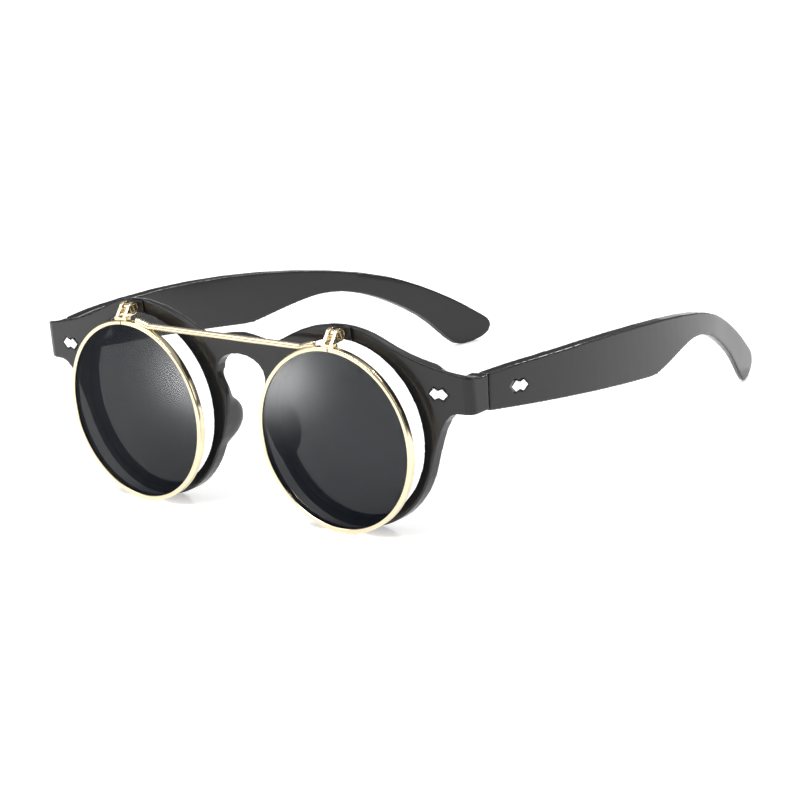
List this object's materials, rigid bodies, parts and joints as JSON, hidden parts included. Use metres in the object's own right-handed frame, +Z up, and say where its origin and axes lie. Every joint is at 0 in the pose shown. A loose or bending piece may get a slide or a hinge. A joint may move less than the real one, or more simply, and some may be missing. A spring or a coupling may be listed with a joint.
{
  "type": "flip up sunglasses",
  "caption": "Round flip up sunglasses: matte black keyhole frame with clear lenses, a hinged gold wire flip part with dark lenses, and folding temples.",
  "frame": {"origin": "centre of the bounding box, on the table the glasses stand on", "axes": "+X to the wearer's left, the front faces -Y and the temples run towards +Y, +Z up"},
  "size_m": [0.158, 0.1628, 0.0551],
  "materials": {
    "black_plastic": "matte, faintly soft sheen",
    "clear_glass": "clear, polished",
    "dark_glass": "dark grey, polished",
    "gold": "pale polished gold",
    "gold_screw": "pale gold",
    "black_plate": "black, satin",
    "silver": "bright",
    "steel": "satin"
  },
  "bodies": {
    "front": {"front_frame": "black_plastic", "clear_lens_left": "clear_glass", "clear_lens_right": "clear_glass", "hinge_plate_left": "black_plate", "hinge_plate_right": "black_plate", "hinge_knuckle_left": "gold", "hinge_knuckle_right": "gold", "front_rivet_left": "silver", "front_rivet_right": "silver", "front_leaf_left": "steel", "front_leaf_right": "steel", "temple_screw_left": "steel", "temple_screw_right": "steel"},
    "flip_part": {"flip_rim_left": "gold", "flip_rim_right": "gold", "flip_lens_left": "dark_glass", "flip_lens_right": "dark_glass", "flip_bar": "gold", "flip_clevis_left": "gold", "flip_clevis_right": "gold", "rim_screw_left": "gold_screw", "rim_screw_right": "gold_screw", "flip_screw_left": "gold_screw", "flip_screw_right": "gold_screw"},
    "left_temple": {"temple_left": "black_plastic", "temple_leaf_left": "steel", "temple_rivet_left": "silver"},
    "right_temple": {"temple_right": "black_plastic", "temple_leaf_right": "steel", "temple_rivet_right": "silver"}
  },
  "joints": [
    {"name": "flip_hinge", "type": "hinge", "parent": "front", "child": "flip_part", "pos_m": [0, -0.07638, 0.05317], "axis": [-1, 0, 0], "range_deg": [-4, 135]},
    {"name": "left_temple_fold", "type": "hinge", "parent": "front", "child": "left_temple", "pos_m": [0.0712, -0.06153, 0.03885], "axis": [0, 0, 1], "range_deg": [0, 82]},
    {"name": "right_temple_fold", "type": "hinge", "parent": "front", "child": "right_temple", "pos_m": [-0.0712, -0.06153, 0.03885], "axis": [0, 0, -1], "range_deg": [0, 76]}
  ]
}
